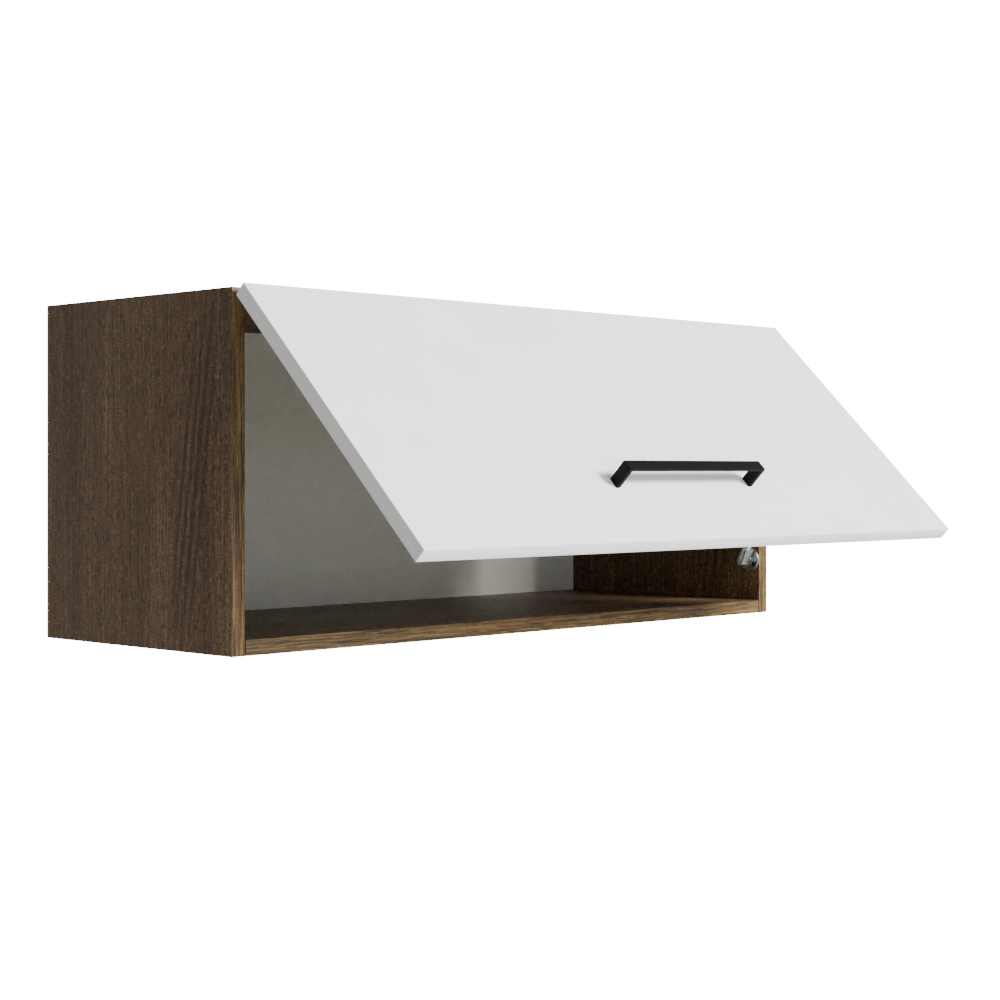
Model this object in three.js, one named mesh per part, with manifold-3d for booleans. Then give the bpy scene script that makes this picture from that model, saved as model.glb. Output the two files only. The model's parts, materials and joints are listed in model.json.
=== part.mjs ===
// A lift-up wall cabinet: a wide, low board box that hangs on a wall, closed by one door that is
// hinged along its top edge and held up by a gas strut on the right-hand side.
//
// Millimetres, +Z up, +Y towards the wall, +X to the right as seen from the front. The origin is the
// middle of the rear face, where the cabinet meets the wall. The door stands half open.

import * as THREE from 'three';
import { mergeVertices } from 'three/addons/utils/BufferGeometryUtils.js';
import Module from 'manifold-3d';

const wasm = await Module();
wasm.setup();

// ---------------------------------------------------------------- driving dimensions

// Carcass. Depths run back from the front edges of the sides, heights up from their lower ends.
const cabinetWidth = 800;
const cabinetHeight = 335;
const sideDepth = 298;
const boardThickness = 15;
const backThickness = 3;

// Door and its place in front of the carcass.
const doorThickness = 15;
const doorSideReveal = 2;
const doorEndReveal = 1;
const doorGap = 2; // between the closed door and the front edges
const doorOpening = 45.33; // degrees, as it stands
const hingeAxisForward = 10.2; // the line that the door turns about, in front of the carcass
const hingeAxisBelowTop = 2.9;

// Handle: a flat bar on two square legs.
const handleLength = 208;
const handleBarWidth = 12.4;
const handleBarThickness = 3;
const handleLegThickness = 5;
const handleProjection = 25;
const handleFromDoorBottom = 74.3;

// Concealed cup hinges.
const hingeFromEnd = 100; // from the outside of each side panel
const cupDiameter = 35;
const cupDepth = 11.5;
const cupWall = 1;
const cupCentreFromDoorTop = 22.5;
const cupFlangeThickness = 1.2;
const cupFlangeRadius = 19.5;
const cupScrewSpacing = 48;
const cupScrewOffset = 6;
const cupEarRadius = 6;
const cupPinDiameter = 4;
const cupPinOffset = 5; // both below the cup's centre and in from the door's inner face
const linkLength = 33;
const linkWidth = 8;
const linkThickness = 2.4;
const linkEyeRadius = 3.9;
const linkTurnShare = 0.36; // part of the door's turn that the link makes
const armWidth = 16;
const armWall = 1.5;
const armDrop = 21.7; // from the top panel's underside to the arm's lower face
const armWallHeight = 15.7;
const armNoseForward = 4; // in front of the carcass
const armLength = 66;
const hingePlateSetback = 29;
const hingePlateLength = 29;
const hingePlateWing = 48;
const hingePlateWingDepth = 16;
const hingePlateWingThickness = 1.5;
const hingePlateScrewSpacing = 32;

// Gas strut.
const strutFromSide = 11.5; // its centre line from the right side's inner face
const strutStudBack = 14; // lower stud, behind the front edge
const strutStudUp = 63;
const strutFromDoorTop = 105; // upper stud, down the door
const strutStandOff = 12; // upper stud, off the door's inner face
const tubeDiameter = 15;
const tubeWall = 1.2;
const tubeEndWall = 2;
const tubeLength = 114;
const rodDiameter = 6;
const rodSeat = 8; // how far the rod runs into its end fitting
const guideLength = 6;
const pistonLength = 4;
const pistonFromUpperStud = 70;
const fittingWidth = 13;
const fittingBreadth = 8;
const fittingOverStud = 7;
const upperFittingReach = 10;
const lowerFittingReach = 14.5;
const fittingGrooveWidth = 3;
const fittingGrooveDepth = 2;
const studDiameter = 5;
const studCollarDiameter = 10;
const strutPlateDiameter = 28;
const strutPlateThickness = 2;
const strutPlateScrewCircle = 19.4;
const strutPlateScrews = 3;
const strutPlateScrewTurn = -34.5; // degrees, first screw, from straight forward
const bracketThickness = 2;
const bracketFootLength = 30;
const bracketFootWidth = 26;
const bracketScrewSpacing = 18;
const bracketToFitting = 3;
const studHeadDiameter = 9;
const studHeadHeight = 2;

// Hanging brackets in the upper rear corners.
const hangerPlateThickness = 2;
const hangerPlateDepth = 46;
const hangerPlateHeight = 54;
const hangerBodyWidth = 14;
const hangerBodyDepth = 32;
const hangerBodyHeight = 42;
const hangerUnderTop = 4;
const hangerBehindBack = 1;
const hangerHookWidth = 10;
const hangerHookHeight = 12;
const hangerScrewSpacing = 30;

// Fasteners and small parts.
const screwDiameter = 3;
const screwHeadDiameter = 6;
const screwHeadHeight = 1.6;
const screwReach = 10;
const handleScrewDiameter = 3;
const handleScrewHeadDiameter = 8;
const handleScrewHeadHeight = 2.2;
const handleScrewReach = 8;
const camDiameter = 15;
const camLength = 12;
const camFromEnd = 24;
const camFromEdge = 40;
const camSlotWidth = 2;
const camSlotDepth = 1.5;
const bumperDiameter = 8;
const bumperThickness = 1.3;
const bumperFromEnd = 15;

// Clearances.
const cutGap = 0.3; // round a piece that another is cut for
const seatGap = 0.3; // under a piece that rests on the turned door
const runGap = 0.3; // between pieces that turn or slide on each other

// ---------------------------------------------------------------- shapes

const quarterTurn = Math.PI / 2;
const halfTurn = Math.PI;
const roundSides = 28;
const smallSides = 16;
const screwSides = 10;

// A box between two corners.
function block(low, high) {
  const [dx, dy, dz] = [0, 1, 2].map((i) => high[i] - low[i]);
  const box = new THREE.BoxGeometry(dx, dy, dz);
  return box.translate(low[0] + dx / 2, low[1] + dy / 2, low[2] + dz / 2);
}

// A cylinder along x, y or z that starts at a point and runs the positive way.
function cylinder(axis, start, radius, length, sides = smallSides) {
  const shape = new THREE.CylinderGeometry(radius, radius, length, sides);
  shape.translate(0, length / 2, 0);
  if (axis === 'x') shape.rotateZ(-quarterTurn);
  if (axis === 'z') shape.rotateX(quarterTurn);
  return shape.translate(...start);
}

// A turned shape from [radius, distance] pairs, along +Y.
function turned(profile, sides) {
  return new THREE.LatheGeometry(profile.map(([r, d]) => new THREE.Vector2(r, d)), sides);
}

// An outline drawn in Y and Z, given thickness along +X from x = 0.
function sidewaysPlate(outline, thickness) {
  const settings = { depth: thickness, bevelEnabled: false, curveSegments: 8 };
  const plate = new THREE.ExtrudeGeometry(outline, settings);
  plate.rotateX(quarterTurn);
  return plate.rotateZ(quarterTurn);
}

// An outline drawn in X and Z, given thickness along +Y from y = 0.
function facingPlate(outline, thickness) {
  const settings = { depth: thickness, bevelEnabled: false, curveSegments: 12 };
  const plate = new THREE.ExtrudeGeometry(outline, settings);
  plate.rotateX(quarterTurn);
  return plate.translate(0, thickness, 0);
}

// ---------------------------------------------------------------- joins and cuts

function toSolid(geometry) {
  const bare = geometry.clone();
  bare.deleteAttribute('normal');
  bare.deleteAttribute('uv');
  const merged = mergeVertices(bare, 1e-4);
  return new wasm.Manifold(new wasm.Mesh({
    numProp: 3,
    vertProperties: new Float32Array(merged.attributes.position.array),
    triVerts: new Uint32Array(merged.index.array),
  }));
}

function toGeometry(solid) {
  const mesh = solid.getMesh();
  const geometry = new THREE.BufferGeometry();
  geometry.setAttribute('position', new THREE.BufferAttribute(mesh.vertProperties.slice(), 3));
  geometry.setIndex(new THREE.BufferAttribute(mesh.triVerts.slice(), 1));
  geometry.computeVertexNormals();
  return geometry;
}

function join(...shapes) {
  return toGeometry(shapes.map(toSolid).reduce((sum, shape) => sum.add(shape)));
}

function cut(base, ...tools) {
  return toGeometry(tools.map(toSolid).reduce((left, tool) => left.subtract(tool), toSolid(base)));
}

// ---------------------------------------------------------------- looks

const looks = {
  darkWood: { color: 0x4b3c2d, roughness: 0.6, metalness: 0 },
  whiteBoard: { color: 0xe0e0df, roughness: 0.45, metalness: 0 },
  whiteBack: { color: 0xb9b7b2, roughness: 0.7, metalness: 0 },
  blackMetal: { color: 0x282a2a, roughness: 0.5, metalness: 0.3 },
  nickel: { color: 0xb6b6b2, roughness: 0.35, metalness: 0.9 },
  chromedRod: { color: 0xd0d0d0, roughness: 0.12, metalness: 1 },
  greyPaint: { color: 0x8d8f8f, roughness: 0.5, metalness: 0.4 },
  greyPlastic: { color: 0x9a9a97, roughness: 0.6, metalness: 0 },
  blackPlastic: { color: 0x1c1c1c, roughness: 0.6, metalness: 0 },
  clearRubber: { color: 0xd9d9d4, roughness: 0.5, metalness: 0 },
};

function addPiece(parent, name, geometry, look, position = [0, 0, 0], turn = [0, 0, 0]) {
  const piece = new THREE.Mesh(geometry, new THREE.MeshStandardMaterial(looks[look]));
  piece.name = name;
  piece.position.set(...position);
  piece.rotation.set(...turn);
  parent.add(piece);
  return piece;
}

// ---------------------------------------------------------------- places

const innerRight = cabinetWidth - boardThickness;
const topUnderside = cabinetHeight - boardThickness;
const cabinetDepth = sideDepth + backThickness;
const ends = [
  { side: 'left', from: (distance) => distance, inward: 1 },
  { side: 'right', from: (distance) => cabinetWidth - distance, inward: -1 },
];

// The door's own frame has its origin on the hinge axis and is drawn closed, then turned as a whole.
const open = THREE.MathUtils.degToRad(doorOpening);
const doorTop = hingeAxisBelowTop - doorEndReveal;
const doorHeight = cabinetHeight - 2 * doorEndReveal;
const doorInner = hingeAxisForward - doorGap;
const doorOuter = doorInner - doorThickness;
const hingeAxis = [0, -hingeAxisForward, cabinetHeight - hingeAxisBelowTop];
const downTheDoor = (distance) => doorTop - distance;
const seat = doorInner + seatGap;

// A point of the door's frame, [forward-back, up], in the carcass's frame.
function fromDoor([y, z]) {
  const back = y * Math.cos(open) + z * Math.sin(open);
  const up = z * Math.cos(open) - y * Math.sin(open);
  return [hingeAxis[1] + back, hingeAxis[2] + up];
}

const strutX = innerRight - strutFromSide;
const upperStud = [doorInner + strutStandOff, downTheDoor(strutFromDoorTop)];
const [upperStudY, upperStudZ] = fromDoor(upperStud);
const strutSpan = Math.hypot(strutStudBack - upperStudY, upperStudZ - strutStudUp);
const strutLean = Math.atan2(strutStudBack - upperStudY, upperStudZ - strutStudUp);

const screwHole = screwDiameter / 2 + cutGap;
const screwHoleDepth = screwReach + 1;

// ---------------------------------------------------------------- groups

const group = new THREE.Group();
group.name = 'lift_up_wall_cabinet';

const carcass = new THREE.Group();
carcass.position.set(-cabinetWidth / 2, -cabinetDepth, -cabinetHeight / 2);
group.add(carcass);

const doorGroup = new THREE.Group();
doorGroup.position.set(...hingeAxis);
doorGroup.rotation.x = -open;
carcass.add(doorGroup);

// Local -Z runs from the upper stud towards the lower one.
const strutGroup = new THREE.Group();
strutGroup.position.set(strutX, ...upperStud);
strutGroup.rotation.x = open + strutLean;
doorGroup.add(strutGroup);

// ---------------------------------------------------------------- screws

// A pan-head screw along +Y: the head lies below y = 0 and the shank above it.
function screw(diameter, headDiameter, headHeight, reach) {
  const r = diameter / 2;
  const head = headDiameter / 2;
  const profile = [
    [0, -headHeight],
    [head * 0.7, -headHeight],
    [head, -headHeight * 0.45],
    [head, 0],
    [r, 0],
    [r, reach - diameter],
    [0, reach],
  ];
  return turned(profile, screwSides);
}

const woodScrew = () => screw(screwDiameter, screwHeadDiameter, screwHeadHeight, screwReach);
const into = {
  left: [0, 0, quarterTurn],
  right: [0, 0, -quarterTurn],
  up: [quarterTurn, 0, 0],
  forward: [halfTurn, 0, 0],
};

// ---------------------------------------------------------------- carcass boards

const hangerRear = sideDepth - cutGap;
const hangerTop = topUnderside - hangerUnderTop;
const hangerMiddle = hangerTop - hangerPlateHeight / 2;
const hangerBodyStart = boardThickness + hangerPlateThickness;
const hangerHookStart = hangerBodyStart + (hangerBodyWidth - hangerHookWidth) / 2;
const hangerHookTop = hangerMiddle + hangerBodyHeight / 2 - hangerBodyWidth / 2;
const hangerScrewY = hangerRear - (hangerPlateDepth + hangerBodyDepth) / 2;
const hangerScrewZ = [1, -1].map((way) => hangerMiddle + (way * hangerScrewSpacing) / 2);

const hingeX = ends.map((end) => end.from(hingeFromEnd));
const platePlane = topUnderside - hingePlateWingThickness;
const plateScrewY = hingePlateSetback + hingePlateWingDepth / 2;
const pairOffsets = (spacing) => [-spacing / 2, spacing / 2];

const strutPlatePlane = innerRight - strutPlateThickness;
const strutPlateHoles = Array.from({ length: strutPlateScrews }, (_, i) => {
  const angle = THREE.MathUtils.degToRad(strutPlateScrewTurn) + (i * 2 * Math.PI) / strutPlateScrews;
  const r = strutPlateScrewCircle / 2;
  return [strutStudBack - r * Math.cos(angle), strutStudUp + r * Math.sin(angle)];
});

// Two distances from an end of the cabinet, as the lower and the upper x.
function span(end, a, b) {
  return [end.from(a), end.from(b)].sort((p, q) => p - q);
}

function sidePanel(end) {
  const [x0, x1] = span(end, 0, boardThickness);
  const board = block([x0, 0, 0], [x1, sideDepth, cabinetHeight]);
  const [holeStart] = span(end, boardThickness - screwHoleDepth, boardThickness + 1);
  const holes = hangerScrewZ.map((z) => {
    return cylinder('x', [holeStart, hangerScrewY, z], screwHole, screwHoleDepth + 1, screwSides);
  });
  if (end.side === 'right') {
    strutPlateHoles.forEach(([y, z]) => {
      holes.push(cylinder('x', [holeStart, y, z], screwHole, screwHoleDepth + 1, screwSides));
    });
  }
  return cut(board, ...holes);
}

const camPlaces = ends.flatMap((end) => [
  { name: `${end.side}_front`, x: end.from(boardThickness + camFromEnd), y: camFromEdge },
  { name: `${end.side}_rear`, x: end.from(boardThickness + camFromEnd), y: sideDepth - camFromEdge },
]);
const camHoleRadius = camDiameter / 2 + cutGap;

function bottomPanel() {
  const board = block([boardThickness, 0, 0], [innerRight, sideDepth, boardThickness]);
  const holes = camPlaces.map(({ x, y }) => {
    return cylinder('z', [x, y, -1], camHoleRadius, camLength + cutGap + 1);
  });
  return cut(board, ...holes);
}

function topPanel() {
  const board = block([boardThickness, 0, topUnderside], [innerRight, sideDepth, cabinetHeight]);
  const camFloor = cabinetHeight - camLength - cutGap;
  const holes = camPlaces.map(({ x, y }) => {
    return cylinder('z', [x, y, camFloor], camHoleRadius, camLength + cutGap + 1);
  });
  hingeX.forEach((x) => pairOffsets(hingePlateScrewSpacing).forEach((dx) => {
    const start = [x + dx, plateScrewY, platePlane];
    holes.push(cylinder('z', start, screwHole, screwHoleDepth, screwSides));
  }));
  return cut(board, ...holes);
}

function backPanel() {
  const sheet = block([0, sideDepth, 0], [cabinetWidth, cabinetDepth, cabinetHeight]);
  const slots = ends.map((end) => {
    const hookEnd = hangerHookStart + hangerHookWidth;
    const [x0, x1] = span(end, hangerHookStart - cutGap, hookEnd + cutGap);
    const low = [x0, sideDepth - 1, hangerHookTop - hangerHookHeight - cutGap];
    return block(low, [x1, cabinetDepth + 1, hangerHookTop + cutGap]);
  });
  return cut(sheet, ...slots);
}

ends.forEach((end) => addPiece(carcass, `${end.side}_side_panel`, sidePanel(end), 'darkWood'));
addPiece(carcass, 'bottom_panel', bottomPanel(), 'darkWood');
addPiece(carcass, 'top_panel', topPanel(), 'darkWood');
addPiece(carcass, 'back_panel', backPanel(), 'whiteBack');

// ---------------------------------------------------------------- cam connectors

// A disc with a screwdriver slot in the face that shows, at z = 0, and its body above it.
function camConnector() {
  const disc = cylinder('z', [0, 0, 0], camDiameter / 2, camLength);
  const half = camDiameter * 0.35;
  const slot = block([-half, -camSlotWidth / 2, -1], [half, camSlotWidth / 2, camSlotDepth]);
  return cut(disc, slot);
}

camPlaces.forEach(({ name, x, y }) => {
  addPiece(carcass, `bottom_cam_${name}`, camConnector(), 'nickel', [x, y, 0]);
  addPiece(carcass, `top_cam_${name}`, camConnector(), 'nickel', [x, y, cabinetHeight],
    [halfTurn, 0, 0]);
});

// ---------------------------------------------------------------- hanging brackets

function hangingBracket(end) {
  const plate = span(end, boardThickness, hangerBodyStart);
  const body = span(end, hangerBodyStart - hangerPlateThickness / 2, hangerBodyStart + hangerBodyWidth);
  const hook = span(end, hangerHookStart, hangerHookStart + hangerHookWidth);
  const bodyHalf = hangerBodyHeight / 2;
  const whole = join(
    block([plate[0], hangerRear - hangerPlateDepth, hangerTop - hangerPlateHeight],
      [plate[1], hangerRear, hangerTop]),
    block([body[0], hangerRear - hangerBodyDepth, hangerMiddle - bodyHalf],
      [body[1], hangerRear, hangerMiddle + bodyHalf]),
    block([hook[0], hangerRear - 1, hangerHookTop - hangerHookHeight],
      [hook[1], cabinetDepth - hangerBehindBack, hangerHookTop]),
  );
  const holes = hangerScrewZ.map((z) => {
    return cylinder('x', [plate[0] - 1, hangerScrewY, z], screwHole, hangerPlateThickness + 2,
      screwSides);
  });
  return cut(whole, ...holes);
}

ends.forEach((end) => {
  addPiece(carcass, `${end.side}_hanging_bracket`, hangingBracket(end), 'greyPlastic');
  const turn = end.side === 'left' ? into.left : into.right;
  hangerScrewZ.forEach((z, i) => {
    const place = [end.from(hangerBodyStart), hangerScrewY, z];
    const level = i === 0 ? 'upper' : 'lower';
    addPiece(carcass, `${end.side}_hanger_screw_${level}`, woodScrew(), 'nickel', place, turn);
  });
});

// ---------------------------------------------------------------- hinge arms on the top panel

const armBottom = topUnderside - armDrop;
const armFloor = armBottom + armWall;

function hingeArm() {
  const half = armWidth / 2;
  const rear = armLength - armNoseForward;
  const outer = block([-half, -armNoseForward, armBottom], [half, rear, armBottom + armWallHeight]);
  const channelTop = armBottom + armWallHeight + 1;
  const channel = block([armWall - half, -armNoseForward - 1, armFloor],
    [half - armWall, rear + 1, channelTop]);
  return cut(outer, channel);
}

function hingePlate() {
  const ridge = armWidth / 2 - armWall - cutGap;
  const wing = hingePlateWing / 2;
  const front = hingePlateSetback;
  const whole = join(
    block([-wing, front, platePlane], [wing, front + hingePlateWingDepth, topUnderside]),
    block([-ridge, front, armFloor + cutGap],
      [ridge, front + hingePlateLength, topUnderside]),
  );
  const holes = pairOffsets(hingePlateScrewSpacing).map((x) => {
    const start = [x, plateScrewY, platePlane - 1];
    return cylinder('z', start, screwHole, hingePlateWingThickness + 2, screwSides);
  });
  return cut(whole, ...holes);
}

ends.forEach((end, i) => {
  const x = hingeX[i];
  addPiece(carcass, `${end.side}_hinge_arm`, hingeArm(), 'nickel', [x, 0, 0]);
  addPiece(carcass, `${end.side}_hinge_plate`, hingePlate(), 'nickel', [x, 0, 0]);
  pairOffsets(hingePlateScrewSpacing).forEach((dx, j) => {
    const place = [x + dx, plateScrewY, platePlane];
    const name = `${end.side}_plate_screw_${j === 0 ? 'left' : 'right'}`;
    addPiece(carcass, name, woodScrew(), 'nickel', place, into.up);
  });
});

// ---------------------------------------------------------------- strut's seat on the right side

function strutPlate() {
  const start = [strutPlatePlane, strutStudBack, strutStudUp];
  const disc = cylinder('x', start, strutPlateDiameter / 2, strutPlateThickness, roundSides);
  const holes = strutPlateHoles.map(([y, z]) => {
    return cylinder('x', [strutPlatePlane - 1, y, z], screwHole, strutPlateThickness + 2, screwSides);
  });
  const studHole = cylinder('x', [strutPlatePlane - 1, strutStudBack, strutStudUp],
    studDiameter / 2 + cutGap, strutPlateThickness + 2);
  return cut(disc, studHole, ...holes);
}

function lowerStud() {
  const nearFitting = strutX + fittingWidth / 2 + runGap;
  const place = [strutStudBack, strutStudUp];
  const collar = cylinder('x', [nearFitting, ...place], studCollarDiameter / 2,
    strutPlatePlane - nearFitting);
  const shank = cylinder('x', [strutPlatePlane - cutGap, ...place], studDiameter / 2,
    strutPlateThickness);
  return join(collar, shank);
}

addPiece(carcass, 'strut_lower_plate', strutPlate(), 'nickel');
addPiece(carcass, 'strut_lower_stud', lowerStud(), 'nickel');
strutPlateHoles.forEach(([y, z], i) => {
  const name = `strut_plate_screw_${i + 1}`;
  addPiece(carcass, name, woodScrew(), 'blackMetal', [strutPlatePlane, y, z], into.right);
});

// ---------------------------------------------------------------- door

const doorLeft = doorSideReveal;
const doorRight = cabinetWidth - doorSideReveal;
const cupCentre = downTheDoor(cupCentreFromDoorTop);
const cupScrewLine = cupCentre - cupScrewOffset;
const cupFace = seat + cupFlangeThickness;
const cupFloor = seat - cupDepth;
const handleLine = doorTop - doorHeight + handleFromDoorBottom;
const handleMiddle = cabinetWidth / 2;
const handleLegCentre = (handleLength - handleLegThickness) / 2;
const bracketLeg = strutX - fittingWidth / 2 - bracketToFitting;
const bracketScrewX = bracketLeg - bracketThickness - (bracketFootWidth - bracketThickness) / 2;
const bracketFace = seat + bracketThickness;
const bracketScrewZ = pairOffsets(bracketScrewSpacing).map((dz) => upperStud[1] + dz);

// A screw hole in the door's inner face, for a screw whose head rests at a given y.
function doorScrewHole(x, headPlane, z) {
  const start = headPlane - screwHoleDepth;
  return cylinder('y', [x, start, z], screwHole, screwHoleDepth + 1, screwSides);
}

function door() {
  const board = block([doorLeft, doorOuter, doorTop - doorHeight], [doorRight, doorInner, doorTop]);
  const holes = bracketScrewZ.map((z) => doorScrewHole(bracketScrewX, bracketFace, z));
  hingeX.forEach((x) => {
    const bore = cupDepth + 1;
    holes.push(cylinder('y', [x, cupFloor - cutGap, cupCentre], cupDiameter / 2, bore, roundSides));
    pairOffsets(cupScrewSpacing).forEach((dx) => {
      holes.push(doorScrewHole(x + dx, cupFace, cupScrewLine));
    });
  });
  [-1, 1].forEach((way) => {
    const x = handleMiddle + way * handleLegCentre;
    const radius = handleScrewDiameter / 2 + cutGap;
    holes.push(cylinder('y', [x, doorOuter - 1, handleLine], radius, doorThickness + 2));
  });
  return cut(board, ...holes);
}

addPiece(doorGroup, 'door', door(), 'whiteBoard');

// ---------------------------------------------------------------- handle

// Drawn about its own middle, with the door's outer face at y = 0 and the bar in front of it.
function handle() {
  const half = handleLength / 2;
  const rise = handleBarWidth / 2;
  const inside = half - handleLegThickness;
  const barBack = handleBarThickness - handleProjection;
  const outer = block([-half, -handleProjection, -rise], [half, -seatGap, rise]);
  const bridge = block([-inside, barBack, -rise - 1], [inside, 1, rise + 1]);
  const holes = [-1, 1].map((way) => {
    const depth = handleScrewReach + 1;
    const radius = handleScrewDiameter / 2 + cutGap;
    return cylinder('y', [way * handleLegCentre, -depth, 0], radius, depth + 1);
  });
  return cut(outer, bridge, ...holes);
}

addPiece(doorGroup, 'handle', handle(), 'blackMetal', [handleMiddle, doorOuter, handleLine]);
[-1, 1].forEach((way) => {
  const reach = seatGap + doorThickness + handleScrewReach;
  const shape = screw(handleScrewDiameter, handleScrewHeadDiameter, handleScrewHeadHeight, reach);
  const place = [handleMiddle + way * handleLegCentre, seat, handleLine];
  addPiece(doorGroup, `handle_screw_${way < 0 ? 'left' : 'right'}`, shape, 'nickel', place,
    into.forward);
});

// ---------------------------------------------------------------- hinge cups and links

// The cup's bowl opens at y = 0, the underside of its flange.
function hingeCup() {
  const bowl = cupDiameter / 2 - cutGap;
  const inside = bowl - cupWall;
  const profile = [
    [0, -cupDepth],
    [bowl, -cupDepth],
    [bowl, 0],
    [cupFlangeRadius, 0],
    [cupFlangeRadius, cupFlangeThickness],
    [inside, cupFlangeThickness],
    [inside, cupWall - cupDepth],
    [0, cupWall - cupDepth],
  ];
  const half = cupScrewSpacing / 2;
  const ears = new THREE.Shape();
  ears.moveTo(-half, -cupEarRadius);
  ears.lineTo(half, -cupEarRadius);
  ears.absarc(half, 0, cupEarRadius, -quarterTurn, quarterTurn, false);
  ears.lineTo(-half, cupEarRadius);
  ears.absarc(-half, 0, cupEarRadius, quarterTurn, quarterTurn * 3, false);
  const bar = facingPlate(ears, cupFlangeThickness).translate(0, 0, -cupScrewOffset);
  const mouth = cylinder('y', [0, -1, 0], inside, cupFlangeThickness + 2, roundSides);
  const holes = pairOffsets(cupScrewSpacing).map((x) => {
    return cylinder('y', [x, -1, -cupScrewOffset], screwHole, cupFlangeThickness + 2, screwSides);
  });
  return cut(join(turned(profile, roundSides), cut(bar, mouth)), ...holes);
}

function cupPin() {
  const flats = Math.cos(Math.PI / roundSides);
  const inside = (cupDiameter / 2 - cutGap - cupWall) * flats;
  const farthest = cupPinOffset + cupPinDiameter / 2;
  const half = Math.sqrt(inside ** 2 - farthest ** 2) - cutGap;
  return cylinder('x', [-half, 0, 0], cupPinDiameter / 2, half * 2);
}

// Its eye is on the cup's pin and its tail points back into the arm when the door is shut.
function hingeLink() {
  const half = linkWidth / 2;
  const thin = linkThickness / 2;
  const tail = linkLength - thin;
  const whole = join(
    cylinder('x', [-half, 0, 0], linkEyeRadius, linkWidth),
    block([-half, 0, -thin], [half, tail, thin]),
    cylinder('x', [-half, tail, 0], thin, linkWidth, screwSides),
  );
  const bore = cylinder('x', [-half - 1, 0, 0], cupPinDiameter / 2 + runGap, linkWidth + 2);
  return cut(whole, bore);
}

ends.forEach((end, i) => {
  const x = hingeX[i];
  addPiece(doorGroup, `${end.side}_hinge_cup`, hingeCup(), 'nickel', [x, seat, cupCentre]);
  pairOffsets(cupScrewSpacing).forEach((dx, j) => {
    const name = `${end.side}_cup_screw_${j === 0 ? 'left' : 'right'}`;
    addPiece(doorGroup, name, woodScrew(), 'nickel', [x + dx, cupFace, cupScrewLine], into.forward);
  });
  const pinPlace = [x, doorInner - cupPinOffset, cupCentre - cupPinOffset];
  addPiece(doorGroup, `${end.side}_hinge_pin`, cupPin(), 'nickel', pinPlace);
  const linkGroup = new THREE.Group();
  linkGroup.position.set(...pinPlace);
  linkGroup.rotation.x = open * (1 - linkTurnShare);
  doorGroup.add(linkGroup);
  addPiece(linkGroup, `${end.side}_hinge_link`, hingeLink(), 'nickel');
});

// ---------------------------------------------------------------- door bumpers

ends.forEach((end) => {
  const x = end.from(boardThickness / 2 + doorSideReveal);
  const z = doorTop - doorHeight + bumperFromEnd;
  const disc = cylinder('y', [0, 0, 0], bumperDiameter / 2, bumperThickness);
  addPiece(doorGroup, `${end.side}_door_bumper`, disc, 'clearRubber', [x, seat, z]);
});

// ---------------------------------------------------------------- strut's bracket on the door

// Foot on the door, with a leg that stands off it and carries the upper stud.
function strutBracket() {
  const half = bracketFootLength / 2;
  const foot = block([bracketLeg - bracketFootWidth, seat, upperStud[1] - half],
    [bracketLeg, bracketFace, upperStud[1] + half]);
  const ear = fittingOverStud;
  const outline = new THREE.Shape();
  outline.moveTo(seat, -half);
  outline.lineTo(upperStud[0], -ear);
  outline.absarc(upperStud[0], 0, ear, -quarterTurn, quarterTurn, false);
  outline.lineTo(seat, half);
  const leg = sidewaysPlate(outline, bracketThickness)
    .translate(bracketLeg - bracketThickness, 0, upperStud[1]);
  const holes = bracketScrewZ.map((z) => {
    return cylinder('y', [bracketScrewX, seat - 1, z], screwHole, bracketThickness + 2, screwSides);
  });
  const studHole = cylinder('x', [bracketLeg - bracketThickness - 1, ...upperStud],
    studDiameter / 2 + cutGap, bracketThickness + 2);
  return cut(join(foot, leg), studHole, ...holes);
}

// A riveted stud: head, shank through the leg, collar, shank through the fitting, retaining head.
function upperStudPiece() {
  const legBack = bracketLeg - bracketThickness - cutGap;
  const collarStart = bracketLeg + cutGap;
  const collarEnd = strutX - fittingWidth / 2 - runGap;
  const farEnd = strutX + fittingWidth / 2 + runGap;
  const head = studHeadDiameter / 2;
  return join(
    cylinder('x', [legBack - studHeadHeight, ...upperStud], head, studHeadHeight),
    cylinder('x', [legBack - 1, ...upperStud], studDiameter / 2, farEnd + 1 - legBack + 1),
    cylinder('x', [collarStart, ...upperStud], head, collarEnd - collarStart),
    cylinder('x', [farEnd, ...upperStud], head, studHeadHeight),
  );
}

addPiece(doorGroup, 'strut_upper_bracket', strutBracket(), 'nickel');
addPiece(doorGroup, 'strut_upper_stud', upperStudPiece(), 'nickel');
bracketScrewZ.forEach((z, i) => {
  const name = `strut_bracket_screw_${i === 0 ? 'lower' : 'upper'}`;
  addPiece(doorGroup, name, woodScrew(), 'nickel', [bracketScrewX, bracketFace, z], into.forward);
});

// ---------------------------------------------------------------- gas strut

// Turns a shape drawn along +Y so that it runs down the strut from a distance below the upper stud.
function alongStrut(shape, distance) {
  return shape.rotateX(-quarterTurn).translate(0, 0, -distance);
}

// An end fitting with its stud at the origin and its body reaching down the strut.
function endFitting(reach) {
  const half = fittingWidth / 2;
  const thin = fittingBreadth / 2;
  const crown = fittingOverStud - thin;
  const outline = new THREE.Shape();
  outline.moveTo(-thin, -reach);
  outline.lineTo(thin, -reach);
  outline.lineTo(thin, crown);
  outline.absarc(0, crown, thin, 0, halfTurn, false);
  const body = sidewaysPlate(outline, fittingWidth).translate(-half, 0, 0);
  const rise = fittingGrooveWidth / 2;
  const groove = block([-half - 1, -rise, -reach - 1], [fittingGrooveDepth - half, rise, crown]);
  return cut(body, groove);
}

function upperFitting() {
  const bore = cylinder('x', [-fittingWidth, 0, 0], studDiameter / 2 + runGap, fittingWidth * 2);
  return cut(endFitting(upperFittingReach), bore);
}

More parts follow.
